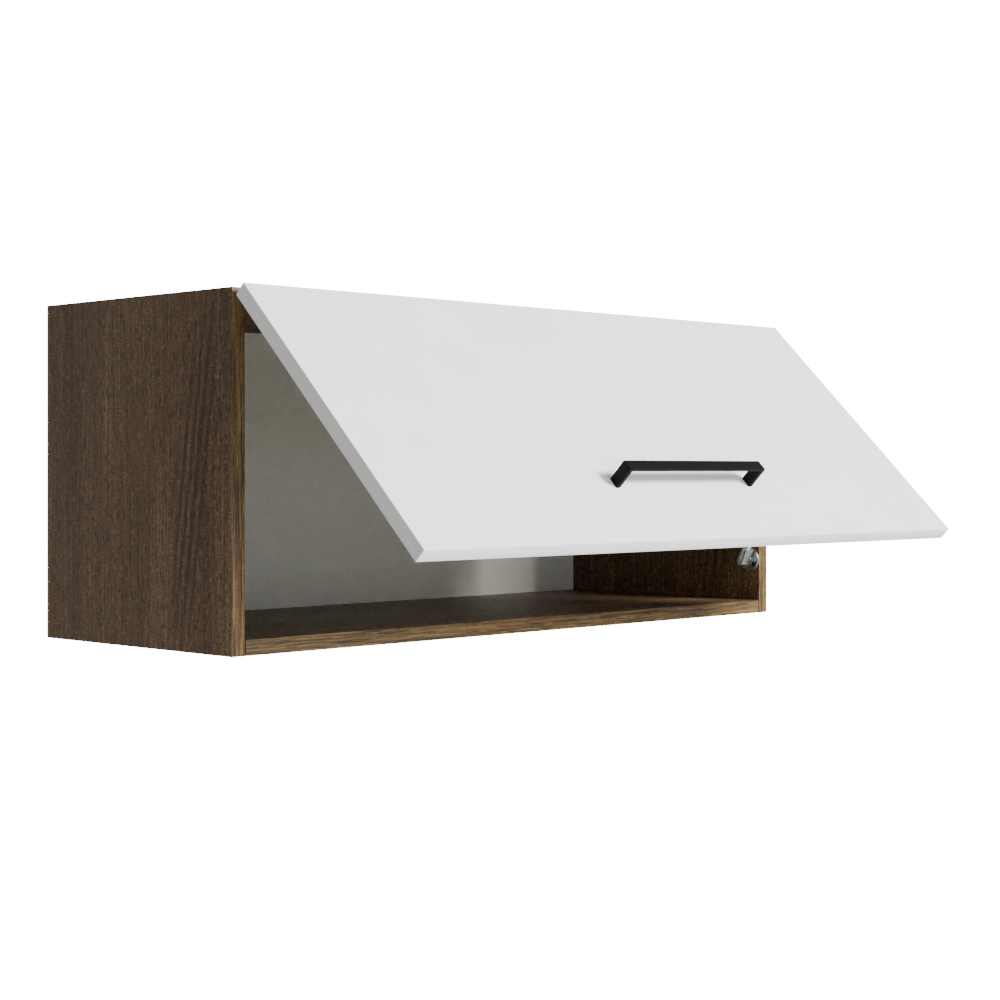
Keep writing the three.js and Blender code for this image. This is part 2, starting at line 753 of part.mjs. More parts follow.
// Turned end for end, so its body reaches up the strut and takes the rod.
function lowerFitting() {
  const radius = rodDiameter / 2 + cutGap;
  const depth = rodSeat + cutGap;
  const bore = cylinder('z', [0, 0, -lowerFittingReach - 1], radius, depth + 1);
  return cut(endFitting(lowerFittingReach), bore).rotateX(halfTurn);
}

const tubeStart = upperFittingReach + cutGap;
const tubeEnd = tubeStart + tubeLength;
const tubeInside = tubeDiameter / 2 - tubeWall;

function strutTube() {
  const profile = [
    [0, 0],
    [tubeDiameter / 2, 0],
    [tubeDiameter / 2, tubeLength],
    [tubeInside, tubeLength],
    [tubeInside, tubeEndWall],
    [0, tubeEndWall],
  ];
  return alongStrut(turned(profile, smallSides), tubeStart);
}

// A ring about the rod, from one distance along the strut to another.
function strutRing(outer, inner, start, length) {
  const profile = [
    [inner, 0],
    [outer, 0],
    [outer, length],
    [inner, length],
    [inner, 0],
  ];
  return alongStrut(turned(profile, smallSides), start);
}

function strutRod() {
  const length = strutSpan - lowerFittingReach + rodSeat - pistonFromUpperStud;
  const shape = cylinder('y', [0, 0, 0], rodDiameter / 2, length);
  return alongStrut(shape, pistonFromUpperStud);
}

function strutGuide() {
  const inner = rodDiameter / 2 + runGap;
  return strutRing(tubeInside - cutGap, inner, tubeEnd - guideLength, guideLength);
}

function strutPiston() {
  const inner = rodDiameter / 2 + cutGap;
  return strutRing(tubeInside - runGap, inner, pistonFromUpperStud, pistonLength);
}

addPiece(strutGroup, 'strut_upper_fitting', upperFitting(), 'greyPaint');
addPiece(strutGroup, 'strut_tube', strutTube(), 'greyPaint');
addPiece(strutGroup, 'strut_rod_guide', strutGuide(), 'blackPlastic');
addPiece(strutGroup, 'strut_piston', strutPiston(), 'blackPlastic');
addPiece(strutGroup, 'strut_rod', strutRod(), 'chromedRod');
addPiece(strutGroup, 'strut_lower_fitting', lowerFitting(), 'greyPaint', [0, 0, -strutSpan]);

export default group;
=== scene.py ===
# %% [markdown]
# # A lift-up wall cabinet, dressed for its picture
#
# A wall cabinet of dark wood-grain board, with a white door that lifts on two concealed hinges
# and a gas strut. The construction model gives every piece its true size and place. Here each
# piece gets the things that a drawing leaves out: rounded edges, edge bands, screw recesses,
# grain and gloss. Everything is in metres, +Z up, with the wall behind the cabinet at y = 0.

import json
import math

import bmesh
import bpy
from mathutils import Matrix, Vector


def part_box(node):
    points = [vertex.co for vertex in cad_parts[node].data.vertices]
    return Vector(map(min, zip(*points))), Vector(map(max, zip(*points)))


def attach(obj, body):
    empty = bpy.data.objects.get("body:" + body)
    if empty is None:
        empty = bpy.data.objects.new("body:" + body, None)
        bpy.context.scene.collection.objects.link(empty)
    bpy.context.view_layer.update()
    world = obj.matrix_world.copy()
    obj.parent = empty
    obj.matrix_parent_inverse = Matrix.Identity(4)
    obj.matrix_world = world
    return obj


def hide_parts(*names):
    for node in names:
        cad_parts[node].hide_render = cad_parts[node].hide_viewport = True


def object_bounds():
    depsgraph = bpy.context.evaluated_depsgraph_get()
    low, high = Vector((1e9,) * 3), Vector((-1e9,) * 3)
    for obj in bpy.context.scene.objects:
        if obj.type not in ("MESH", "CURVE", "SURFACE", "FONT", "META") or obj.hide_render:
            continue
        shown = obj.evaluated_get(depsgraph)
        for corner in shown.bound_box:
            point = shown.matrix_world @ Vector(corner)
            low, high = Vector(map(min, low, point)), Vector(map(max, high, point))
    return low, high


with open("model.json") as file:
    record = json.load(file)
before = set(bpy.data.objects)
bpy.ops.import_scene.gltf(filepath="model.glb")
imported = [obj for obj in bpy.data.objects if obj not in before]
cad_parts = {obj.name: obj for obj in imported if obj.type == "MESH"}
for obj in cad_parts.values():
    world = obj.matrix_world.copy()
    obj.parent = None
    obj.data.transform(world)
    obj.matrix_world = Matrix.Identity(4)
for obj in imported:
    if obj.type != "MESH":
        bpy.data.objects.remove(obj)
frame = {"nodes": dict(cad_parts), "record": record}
cad_low, cad_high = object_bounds()
print("construction model in mm:", [round(side * 1000, 1) for side in cad_high - cad_low])

# %% [markdown]
# ## Places that everything else is measured from
#
# The door and the strut stand at an angle. It is easier to model them square, in a frame of
# their own, and to turn the finished mesh once. Both frames come from the joints of the model:
# the door's has its origin on the hinge line and is drawn shut, the strut's runs down from its
# upper stud.

# %% Frames of the door and the strut
mm = 0.001
X, Y, Z = (1, 0, 0), (0, 1, 0), (0, 0, 1)
sides = ((-1, "left"), (1, "right"))
joints = {joint["name"]: joint for joint in frame["record"]["behaviour"]["joints"]}
door_open = math.radians(-joints["door_lift"]["range_deg"][0])
hinge_line = Vector(joints["door_lift"]["pos_m"])
door_frame = Matrix.Translation(hinge_line) @ Matrix.Rotation(-door_open, 4, "X")

strut_stud = Vector(joints["strut_swing"]["pos_m"])
strut_run = Vector(joints["strut_extend"]["axis"])
strut_lean = math.atan2(strut_run.y, -strut_run.z)
strut_frame = Matrix.Translation(strut_stud) @ Matrix.Rotation(strut_lean, 4, "X")
cabinet_frame = Matrix.Identity(4)
print("door open by", round(math.degrees(door_open), 2), "degrees")
print("strut leans by", round(math.degrees(strut_lean), 2), "degrees")

# %% [markdown]
# ## Camera
#
# The picture was taken from the front left, at the cabinet's own height, with the camera held
# level: its upright edges stay exactly upright. The horizon lies a little above the middle of
# the picture, which is a small vertical lens shift and no tilt.

# %% Camera
camera_place = (-1.50643, -1.72404, 0.00221)
camera_heading = math.radians(45.5836)
camera_lens = 71.243
camera_rise = -0.0305

bpy.ops.object.select_all(action="DESELECT")
bpy.ops.object.camera_add(location=camera_place, rotation=(math.pi / 2, 0, -camera_heading))
camera = bpy.context.object
camera.name = "camera"
camera.data.lens = camera_lens
camera.data.sensor_width = 36
camera.data.shift_y = camera_rise
camera.data.clip_end = 50
bpy.context.scene.camera = camera
print("camera heading:", round(math.degrees(camera_heading), 1), "degrees right of +Y")

# %% [markdown]
# ## Node helpers
#
# Every finish is a Principled shader with a few texture nodes on Object coordinates, so a
# pattern keeps its real scale in millimetres. Real surfaces are never evenly smooth, so most
# finishes get a relief and a gloss that follow their pattern.

# %% Node helpers
def linear(hex_colour):
    """Turns an sRGB hex colour into the linear values that shaders and lamps use."""
    channels = [int(hex_colour[i:i + 2], 16) / 255 for i in (1, 3, 5)]
    return [c / 12.92 if c <= 0.04045 else ((c + 0.055) / 1.055) ** 2.4 for c in channels]


def add_node(tree, kind, settings=None, links=None):
    """Adds a node. A setting is a property, an input or a ramp's stops; a link feeds an input."""
    node = tree.nodes.new(kind)
    for key, value in (settings or {}).items():
        if key == "stops":  # (position, hex colour) pairs
            elements = node.color_ramp.elements
            while len(elements) < len(value):
                elements.new(0.5)
            for element, (position, hex_colour) in zip(elements, value):
                element.position = position
                element.color = (*linear(hex_colour), 1)
        elif isinstance(key, str) and hasattr(node, key):
            setattr(node, key, value)
        else:
            node.inputs[key].default_value = value
    for key, output in (links or {}).items():
        tree.links.new(output, node.inputs[key])
    return node


def start_material(name, roughness, metallic=0.0, extra=None):
    """Makes a named material and returns it with its node tree and its shader."""
    material = bpy.data.materials.new(name)
    material.use_nodes = True
    shader = material.node_tree.nodes["Principled BSDF"]
    for key, value in {"Roughness": roughness, "Metallic": metallic, **(extra or {})}.items():
        shader.inputs[key].default_value = value
    return material, material.node_tree, shader


def object_mapping(tree, scale=(1, 1, 1)):
    """Object coordinates, scaled, as the vector of a texture."""
    coordinates = add_node(tree, "ShaderNodeTexCoord")
    return add_node(tree, "ShaderNodeMapping", {"Scale": scale},
                    {"Vector": coordinates.outputs["Object"]}).outputs["Vector"]


def dress(tree, shader, colour, height, strength, depth, gloss=None):
    """Connects a colour, a relief and, as (pattern, low, high), an uneven roughness."""
    tree.links.new(colour, shader.inputs["Base Color"])
    relief = add_node(tree, "ShaderNodeBump", {"Strength": strength, "Distance": depth},
                      {"Height": height})
    tree.links.new(relief.outputs["Normal"], shader.inputs["Normal"])
    if gloss:
        spread = add_node(tree, "ShaderNodeMapRange", {"To Min": gloss[1], "To Max": gloss[2]},
                          {"Value": gloss[0]})
        tree.links.new(spread.outputs["Result"], shader.inputs["Roughness"])


# %% [markdown]
# ## Light and floor
#
# The camera sees a very bright sky, pure white, while a dim one lights the pieces. The handle's
# shadow runs up the door and to the left, the front edges under the door are in shade, and a
# soft strip of light reaches the back between the shadows of the door and the right side. One
# key lamp in front, 24 degrees to the right and 24 degrees up, explains all three. A weak cool
# lamp in front and one below fill the inside. The floor is far below, as under a real wall
# cabinet.

# %% World, lamps and floor
sky_strength = 0.5
backdrop_strength = 20.0
lamps = {  # place, size in metres, power in watts, colour
    "key_lamp": ((2.27, -5.35, 2.32), 1.5, 945, "#ffffff"),
    "front_lamp": ((-0.3, -2.8, -0.02), 1.0, 23, "#e8f0ff"),
    "low_lamp": ((-0.2, -2.7, -1.0), 1.0, 12, "#ffffff"),
}
floor_drop, floor_size, floor_y = 1.4, 4.0, -0.3

world = bpy.data.worlds.new("studio")
world.use_nodes = True
bpy.context.scene.world = world
white = (*linear("#ffffff"), 1)
sky = world.node_tree.nodes["Background"]
sky.inputs["Color"].default_value = white
sky.inputs["Strength"].default_value = sky_strength
backdrop = add_node(world.node_tree, "ShaderNodeBackground",
                    {"Color": white, "Strength": backdrop_strength})
seen = add_node(world.node_tree, "ShaderNodeLightPath")
choose = add_node(world.node_tree, "ShaderNodeMixShader", None,
                  {"Fac": seen.outputs["Is Camera Ray"], 1: sky.outputs["Background"],
                   2: backdrop.outputs["Background"]})
world.node_tree.links.new(choose.outputs["Shader"],
                          world.node_tree.nodes["World Output"].inputs["Surface"])

cabinet_middle = (cad_low + cad_high) / 2
for name, (place, size, power, colour) in lamps.items():
    turn = (cabinet_middle - Vector(place)).to_track_quat("-Z", "Y").to_euler()
    bpy.ops.object.light_add(type="AREA", location=place, rotation=turn)
    lamp = bpy.context.object
    lamp.name = name
    lamp.data.size = size
    lamp.data.energy = power
    lamp.data.color = linear(colour)

bpy.ops.mesh.primitive_plane_add(size=floor_size, location=(0, floor_y, cad_low.z - floor_drop))
floor = bpy.context.object
floor.name = "floor"
floor_paint = start_material("pale_floor", 0.7, 0.0, {"Base Color": (*linear("#eceae6"), 1)})[0]
floor.data.materials.append(floor_paint)
print("lamps:", len(lamps), "floor at z =", round(floor.location.z, 3))

# %% [markdown]
# ## Wood-grain melamine board
#
# The box is chipboard faced with printed melamine paper, a dark walnut with straight grain. The
# print has six layers: broad bands, long threads, dark pores, light flecks, a fine cross weave
# that breaks the streaks up, and dark lines of late wood that lean along a heart near the front
# edge. The grain runs along the board, so there is one material for each direction.

# %% Walnut melamine
band_width, band_length = 42 * mm, 700 * mm
thread_width, thread_length = 1.5 * mm, 120 * mm
pore_width, pore_length = 1.3 * mm, 10 * mm  # coarser than real pores, which wouldn't show
weave_across, weave_along = 8 * mm, 1.5 * mm
ring_width, ring_length = 11 * mm, 400 * mm
ring_lean = 0.15  # radians between the late wood and the grain
wave_period = 0.314  # the Wave texture repeats each 0.314 of its coordinates
heart_place = (0, -245 * mm, 0)
heart_width, heart_length = 42 * mm, 260 * mm
endless = 100  # metres, so that the heart goes through every board
late_wood_edge, pore_edge, fleck_edge = (0.12, 0.55), (0.55, 0.61), (0.61, 0.67)


def walnut_melamine(name, along, stops, seed, weave_share=0.3, sheen=0.3, dash=1, dust=0.0):
    """Printed walnut with its grain along axis 0 (x) or 2 (z)."""
    material, tree, shader = start_material(name, 0.55, 0.0, {"Specular IOR Level": sheen})

    def stretched(width, length, lean=0.0, middle=(0, 0, 0), depth=None):
        """Coordinates in which one mark is one unit wide and one unit long."""
        size = [depth or width, width, depth or width]
        size[along] = length
        coordinates = add_node(tree, "ShaderNodeTexCoord")
        return add_node(tree, "ShaderNodeMapping",
                        {"vector_type": "TEXTURE", "Location": middle, "Scale": size,
                         "Rotation": (lean, 0, 0) if along == 2 else (0, 0, lean)},
                        {"Vector": coordinates.outputs["Object"]}).outputs["Vector"]

    def print_over(colour, mask, edge, hex_colour, share):
        """Prints a second colour where a mask is high, with a crisp edge."""
        reach = add_node(tree, "ShaderNodeMapRange",
                         {"From Min": edge[0], "From Max": edge[1], "To Max": share},
                         {"Value": mask})
        return add_node(tree, "ShaderNodeMix", {"data_type": "RGBA", 7: (*linear(hex_colour), 1)},
                        {"Factor": reach.outputs["Result"], 6: colour}).outputs[2]

    bands, threads, pores, flecks, weave = [
        add_node(tree, "ShaderNodeTexNoise",
                 {"noise_dimensions": "4D", "Scale": 1.0, "Detail": detail, "W": seed,
                  "Distortion": distortion}, {"Vector": stretched(width, length)}).outputs["Fac"]
        for width, length, detail, distortion in (
            (band_width, band_length, 2, 0.6), (thread_width, thread_length, 3, 0.0),
            (pore_width, pore_length * dash, 2, 0.0),
            (0.9 * pore_width, 0.6 * pore_length * dash, 2, 0.3),
            (weave_across, weave_along, 2, 0.0))]
    rings = add_node(tree, "ShaderNodeTexWave",
                     {"bands_direction": "Y", "Scale": 1.0, "Distortion": 3.0, "Detail": 2.0,
                      "Detail Scale": 1.0},
                     {"Vector": stretched(ring_width / wave_period, ring_length, ring_lean)})
    heart = add_node(tree, "ShaderNodeTexGradient", {"gradient_type": "SPHERICAL"}, {
        "Vector": stretched(heart_width, heart_length, ring_lean, heart_place, endless)})
    late_wood = add_node(tree, "ShaderNodeMath", {"operation": "MULTIPLY"},
                         {0: rings.outputs["Fac"], 1: heart.outputs["Fac"]})
    streaks = add_node(tree, "ShaderNodeMix", {"data_type": "FLOAT", "Factor": 0.6},
                       {"A": bands, "B": threads})
    grain = add_node(tree, "ShaderNodeMix", {"data_type": "FLOAT", "Factor": weave_share},
                     {"A": streaks.outputs["Result"], "B": weave}).outputs["Result"]
    height = add_node(tree, "ShaderNodeMix", {"data_type": "FLOAT", "Factor": 0.4},
                      {"A": pores, "B": weave})

    darkest, lightest = stops[0][1], stops[-1][1]
    colour = add_node(tree, "ShaderNodeValToRGB", {"stops": stops}, {"Fac": grain}).outputs[0]
    for mask, edge, hex_colour, share in (
            (late_wood.outputs[0], late_wood_edge, darkest, 0.75),
            (pores, pore_edge, darkest, 0.9), (flecks, fleck_edge, lightest, 0.5)):
        colour = print_over(colour, mask, edge, hex_colour, share)
    dress(tree, shader, colour, height.outputs["Result"], 0.25, 0.2 * mm,
          (grain, 0.56 + dust, 0.42 + dust))
    return material


walnut_stops = [(0.36, "#2a1f12"), (0.46, "#523b25"), (0.54, "#61472d"), (0.75, "#9e8768")]
# Satin paper, brown until a low light brings its sheen out. The bottom, seen along its surface,
# gathers more sheen; the top is dusty and dull.
walnut_upright = walnut_melamine("walnut_melamine_upright", 2, walnut_stops, 1.0)
walnut_level = walnut_melamine("walnut_melamine_level", 0, walnut_stops, 4.0, sheen=0.55)
walnut_dusty = walnut_melamine("walnut_melamine_dusty", 0, walnut_stops, 4.0, dust=0.25)
# The edge band is yellower, with long streaks and little weave, so it looks like planed wood.
band_stops = [(0.36, "#2c2110"), (0.46, "#523f22"), (0.54, "#69512e"), (0.68, "#957a48")]
upright_band_stops = [(0.38, "#241a0d"), (0.46, "#4f3c22"), (0.54, "#68502e"), (0.64, "#9b804b")]
walnut_band_upright = walnut_melamine("walnut_edge_band_upright", 2, upright_band_stops, 7.0,
                                      0.1, dash=4)
walnut_band_level = walnut_melamine("walnut_edge_band_level", 0, band_stops, 9.0, 0.1, dash=4)
print("walnut: bands", round(band_width / mm), "mm, pores", round(pore_width / mm, 1), "mm")

# %% [markdown]
# ## White door and grey back
#
# The door is the same chipboard with white melamine, pressed against a plate with a very fine
# orange peel. The back is thin hardboard with a rolled light grey paint: flatter, a little
# warmer, and grained by the fibres under it.

# %% White melamine and painted hardboard
peel_width = 1.1 * mm  # coarser than the real peel, which wouldn't show
smudge_width = 60 * mm
fibre_width = 2.5 * mm


def smooth_coat(name, low, high, roughness, grain, depth):
    """A plain coat with a relief, its depth in mm, and large, very weak patches."""
    material, tree, shader = start_material(name, roughness)
    patches, fine = [
        add_node(tree, "ShaderNodeTexNoise", {"Scale": 1 / width, "Detail": detail},
                 {"Vector": object_mapping(tree)}).outputs["Fac"]
        for width, detail in ((smudge_width, 3), (grain, 2))]
    colour = add_node(tree, "ShaderNodeValToRGB", {"stops": [(0.3, low), (0.7, high)]},
                      {"Fac": patches})
    dress(tree, shader, colour.outputs["Color"], fine, 0.3, depth * mm,
          (patches, roughness - 0.05, roughness + 0.06))
    return material


# White melamine is clean and satin. Its plastic band is a shade darker and glossier, so the
# door's edge shows as a line. The painted back is matt.
white_melamine = smooth_coat("white_melamine", "#efefee", "#f3f3f2", 0.42, peel_width, 0.03)
white_edge_band = smooth_coat("white_abs_edge_band", "#e3e3e2", "#e8e8e7", 0.36, peel_width, 0.02)
painted_hardboard = smooth_coat("painted_hardboard", "#b0aea1", "#b3b1a4", 0.6, fibre_width, 0.08)
print("plain coats:", white_melamine.name, painted_hardboard.name)

# %% [markdown]
# ## Metals, paints and plastics
#
# The fittings are pressed steel with nickel or zinc plating, a chromed rod, an enamelled tube,
# a powder-coated handle and cast zinc cams. Plating keeps the rolling marks of the sheet under
# it, long fine scratches. Castings, paints and plastics have an even grain: pits or grit.

# %% Metals, paints and plastics
# Marks, pits and grit are drawn coarser than they are, or they wouldn't show.
sheet_mark_width, sheet_mark_length = 0.25 * mm, 9 * mm


def plated_steel(name, dark, light, roughness):
    """Metal plating over rolled sheet: the marks vary its colour and its gloss."""
    material, tree, shader = start_material(name, roughness, 1.0)
    scale = (1 / sheet_mark_length, 1 / sheet_mark_width, 1 / sheet_mark_width)
    marks = add_node(tree, "ShaderNodeTexNoise", {"Scale": 1.0, "Detail": 3},
                     {"Vector": object_mapping(tree, scale)}).outputs["Fac"]
    colour = add_node(tree, "ShaderNodeValToRGB", {"stops": [(0.35, dark), (0.65, light)]},
                      {"Fac": marks})
    dress(tree, shader, colour.outputs["Color"], marks, 0.12, 0.02 * mm,
          (marks, roughness - 0.08, roughness + 0.1))
    return material


def gritty(name, low, high, roughness, metallic, grain, depth, extra=None):
    """A paint, plastic or casting with an even fine grain; its sizes are in millimetres."""
    material, tree, shader = start_material(name, roughness, metallic, extra)
    grit = add_node(tree, "ShaderNodeTexNoise", {"Scale": 1 / (grain * mm), "Detail": 3},
                    {"Vector": object_mapping(tree)}).outputs["Fac"]
    colour = add_node(tree, "ShaderNodeValToRGB", {"stops": [(0.35, low), (0.65, high)]},
                      {"Fac": grit})
    dress(tree, shader, colour.outputs["Color"], grit, 0.3, depth * mm)
    return material


# Nickel is bright and a little warm, zinc duller and bluer, chrome a clean mirror.
nickel_plating = plated_steel("nickel_plated_steel", "#a9a7a1", "#c9c7c1", 0.26)
zinc_plating = plated_steel("zinc_plated_steel", "#9b9d9c", "#bfc1c0", 0.34)
screw_zinc = plated_steel("zinc_plated_screw", "#a3a39d", "#c4c3bb", 0.3)
chrome_plating = plated_steel("chromed_rod", "#cfd0d0", "#dcdddd", 0.1)
# Pits break up a casting's highlight. Powder coat is deep black without a highlight, an oxidised
# screw nearly black, and baked enamel an even grey with a broad highlight.
cast_zinc = gritty("cast_zinc", "#8e9090", "#b3b5b5", 0.42, 1.0, 0.6, 0.06)
handle_paint = gritty("black_powder_coat", "#0f1010", "#131414", 0.5, 0.0, 0.5, 0.04,
                      {"Specular IOR Level": 0.04})
screw_black = gritty("black_oxide_screw", "#101010", "#1d1d1e", 0.4, 0.6, 0.4, 0.03)
tube_paint = gritty("grey_baked_enamel", "#7f8282", "#8a8d8d", 0.33, 0.0, 1.2, 0.02)
fitting_metal = gritty("die_cast_fitting", "#c0c5c4", "#d8dcdb", 0.45, 1.0, 0.9, 0.05)
# Nylon is dull, clear rubber lets the door's white through, raw hardboard is speckled brown.
hanger_nylon = gritty("light_grey_nylon", "#b3b2ad", "#bebdb8", 0.5, 0.0, 0.8, 0.03)
black_nylon = gritty("black_nylon", "#161616", "#202020", 0.5, 0.0, 0.8, 0.03)
clear_rubber = gritty("clear_soft_rubber", "#d2d2cb", "#dcdcd6", 0.35, 0.0, 1.5, 0.02,
                      {"Transmission Weight": 0.35, "IOR": 1.5})
raw_hardboard = gritty("raw_hardboard", "#5b4126", "#7a5a38", 0.75, 0.0, fibre_width / mm, 0.1)
print("finishes:", len(bpy.data.materials))

# %% [markdown]
# ## Modelling helpers
#
# Every piece below starts from a primitive and is shaped in edit mode. These helpers only spare
# repeated lines. The last two settle a finished mesh in its place and say which construction
# piece it stands for.

# %% Primitives and selection
def activate(piece=None):
    """Leaves edit mode with only this piece selected and active, or nothing."""
    if bpy.context.mode != "OBJECT":
        bpy.ops.object.mode_set(mode="OBJECT")
    bpy.ops.object.select_all(action="DESELECT")
    if piece:
        piece.select_set(True)
        bpy.context.view_layer.objects.active = piece


def add_box(name, low, high):
    """A box between two corners, with its place in its mesh."""
    activate()
    low, high = Vector(low), Vector(high)
    bpy.ops.mesh.primitive_cube_add(size=1, location=(low + high) / 2, scale=high - low)
    bpy.ops.object.transform_apply(location=True, rotation=True, scale=True)
    bpy.context.object.name = name
    return bpy.context.object


def add_disc(name, start, axis, radius, depth, corners=48):
    """A cylinder from a point along a direction."""
    activate()
    axis = Vector(axis).normalized()
    bpy.ops.mesh.primitive_cylinder_add(vertices=corners, radius=radius, depth=depth,
                                        location=Vector(start) + axis * depth / 2,
                                        rotation=axis.to_track_quat("Z", "Y").to_euler())
    bpy.ops.object.transform_apply(location=True, rotation=True, scale=True)
    bpy.context.object.name = name
    return bpy.context.object


def select_faces(piece, test):
    """Opens a piece in edit mode and selects the faces whose centre and normal pass a test."""
    activate(piece)
    bpy.ops.object.mode_set(mode="EDIT")
    bpy.ops.mesh.select_mode(type="FACE")
    bpy.ops.mesh.select_all(action="DESELECT")
    shape = bmesh.from_edit_mesh(piece.data)
    chosen = [face for face in shape.faces if test(face.calc_center_median(), face.normal)]
    for face in chosen:
        face.select_set(True)
    bmesh.update_edit_mesh(piece.data)
    return len(chosen)


# %% Cuts, edges, finishes and places
def slice_through(piece, cuts):
    """Slices a piece at each point and normal, and keeps both halves."""
    activate(piece)
    bpy.ops.object.mode_set(mode="EDIT")
    for point, normal in cuts:
        bpy.ops.mesh.select_all(action="SELECT")
        bpy.ops.mesh.bisect(plane_co=point, plane_no=normal)


def use_modifier(piece, kind, **settings):
    """Adds a modifier and applies it at once."""
    activate(piece)
    modifier = piece.modifiers.new(kind.lower(), kind)
    for key, value in settings.items():
        setattr(modifier, key, value)
    bpy.ops.object.modifier_apply(modifier=modifier.name)


def cut_with(piece, *others, operation="DIFFERENCE"):
    """Cuts a piece with other solids, which are used up."""
    for other in others:
        use_modifier(piece, "BOOLEAN", operation=operation, object=other, solver="EXACT")
        bpy.data.objects.remove(other)


def join_with(piece, *others):
    """Fuses other solids into a piece."""
    cut_with(piece, *others, operation="UNION")


def round_edges(piece, width, segments=3, angle=50):
    """Rounds every edge that is sharper than an angle."""
    use_modifier(piece, "BEVEL", width=width, segments=segments, limit_method="ANGLE",
                 angle_limit=math.radians(angle), use_clamp_overlap=True)


def round_rim(piece, test, width, segments):
    """Rounds the rim of the faces that pass a test."""
    select_faces(piece, test)
    bpy.ops.mesh.bevel(offset=width, segments=segments, affect="EDGES")


def two_finishes(piece, first, second, test):
    """Gives a piece one finish, and a second one on the faces that pass a test."""
    piece.data.materials.append(first)
    piece.data.materials.append(second)
    found = select_faces(piece, test)
    piece.active_material_index = 1
    bpy.ops.object.material_slot_assign()
    return found


def copy_piece(piece):
    """A copy with its own mesh."""
    twin = piece.copy()
    twin.data = piece.data.copy()
    bpy.context.collection.objects.link(twin)
    return twin


def settle(piece, node, material, body, place=cabinet_frame):
    """Puts a finished piece in its place, gives it its finish and lets it stand for a node."""
    activate(piece)
    piece.name = node + "_dressed"
    piece.matrix_world = place @ piece.matrix_world
    bpy.context.view_layer.update()
    bpy.ops.object.transform_apply(location=True, rotation=True, scale=True)
    bpy.ops.object.shade_smooth_by_angle(angle=math.radians(35))
    if material:
        piece.data.materials.append(material)
    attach(piece, body)
    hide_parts(node)


def settle_pairs(pieces, material, body, place, x):
    """Settles a left and a right copy of each piece, x off the middle, and uses them up."""
    for side, name in sides:
        for suffix, piece in pieces.items():
            settle(copy_piece(piece), f"{name}_{suffix}", material, body,
                   place @ Matrix.Translation((side * x, 0, 0)))
    for piece in pieces.values():
        bpy.data.objects.remove(piece)


# %% [markdown]
# ## The box: four boards
#
# Each board is cut from a faced sheet, then a thin band is glued on its front edge. It is drawn
# the same way: a box at the board's size, sliced a millimetre behind its front edge so that the
# band is a face strip of its own, and a small rounding on every edge. The top and the bottom
# board have round pockets for the cam connectors, bored from outside, which a Boolean cuts.

# %% Four carcass boards
band_thickness = 1.0 * mm
board_rounding = 0.5 * mm
joint_line = 1.0 * mm
cam_bore_radius, cam_bore_depth = 7.8 * mm, 12.3 * mm
cam_x, cam_rows = 361 * mm, {"front": -261 * mm, "rear": -43 * mm}
cam_spots = [(f"{name}_{row}", side * cam_x, y) for side, name in sides
             for row, y in cam_rows.items()]


def banded_board(name, face_material, band_material, bore_from=None):
    """A faced board over its node, with an edge band in front and cam bores."""
    low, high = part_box(name)
    if bore_from:  # a board between the sides: the joint at each end stays open as a fine line
        low.x, high.x = low.x + joint_line, high.x - joint_line
    board = add_box("board", low, high)
    slice_through(board, [((0, low.y + band_thickness, 0), Y)])
    round_edges(board, board_rounding, 2, angle=60)
    found = two_finishes(board, face_material, band_material,
                         lambda middle, normal: middle.y < low.y + band_thickness)
    if bore_from:
        start = low.z - mm if bore_from > 0 else high.z + mm
        for corner, x, y in cam_spots:
            cut_with(board, add_disc("bore", (x, y, start), (0, 0, bore_from),
                                     cam_bore_radius, cam_bore_depth + mm, 40))
    settle(board, name, None, "cabinet")
    print(name, "band faces:", found, "of", len(board.data.polygons))


banded_board("left_side_panel", walnut_upright, walnut_band_upright)
banded_board("right_side_panel", walnut_upright, walnut_band_upright)
banded_board("bottom_panel", walnut_level, walnut_band_level, bore_from=1)
banded_board("top_panel", walnut_dusty, walnut_band_level, bore_from=-1)

# %% [markdown]
# ## Cast cams
#
# A cam is a small zinc drum that pulls two boards together when it is turned. Its outer end has
# a cross recess and a raised rim with an arrow notch. One is modelled for each board: a disc
# whose end is inset and sunk, then a cross and a notch cut into it.

# %% Cams
cam_radius, cam_length = 7.5 * mm, 12 * mm
rim_width, rim_slope, cam_sink = 1.3 * mm, 0.3 * mm, 0.6 * mm
cross_reach, cross_half, cross_depth = 4.2 * mm, 0.8 * mm, 3.2 * mm
notch_start, notch_end, notch_half = 5 * mm, 8 * mm, 0.5 * mm
box_top = 167.5 * mm


def cam_drum(x, y, outer_z, inward):
    """One cam with its face at outer_z and its body going inward."""
    drum = add_disc("cam", (x, y, outer_z), (0, 0, inward), cam_radius, cam_length, 40)
    select_faces(drum, lambda middle, normal: normal.z * inward < -0.9)
    bpy.ops.mesh.inset(thickness=rim_width, depth=0)
    bpy.ops.mesh.inset(thickness=rim_slope, depth=-cam_sink)
    for x_low, x_high, y_half, depth in (
            (-cross_reach, cross_reach, cross_half, cross_depth),
            (-cross_half, cross_half, cross_reach, cross_depth),
            (notch_start, notch_end, notch_half, notch_half)):
        z_low, z_high = sorted((outer_z - inward * mm, outer_z + inward * depth))
        cut_with(drum, add_box("cut", (x + x_low, y - y_half, z_low),
                               (x + x_high, y + y_half, z_high)))
    return drum


first_x, first_y = cam_spots[0][1:]
for board, outer, inward in (("bottom", cad_low.z, 1), ("top", box_top, -1)):
    first = cam_drum(first_x, first_y, outer, inward)
    for corner, x, y in cam_spots:
        settle(copy_piece(first), f"{board}_cam_{corner}", cast_zinc, "cabinet",
               Matrix.Translation((x - first_x, y - first_y, 0)))
    bpy.data.objects.remove(first)
print("cams:", 2 * len(cam_spots))

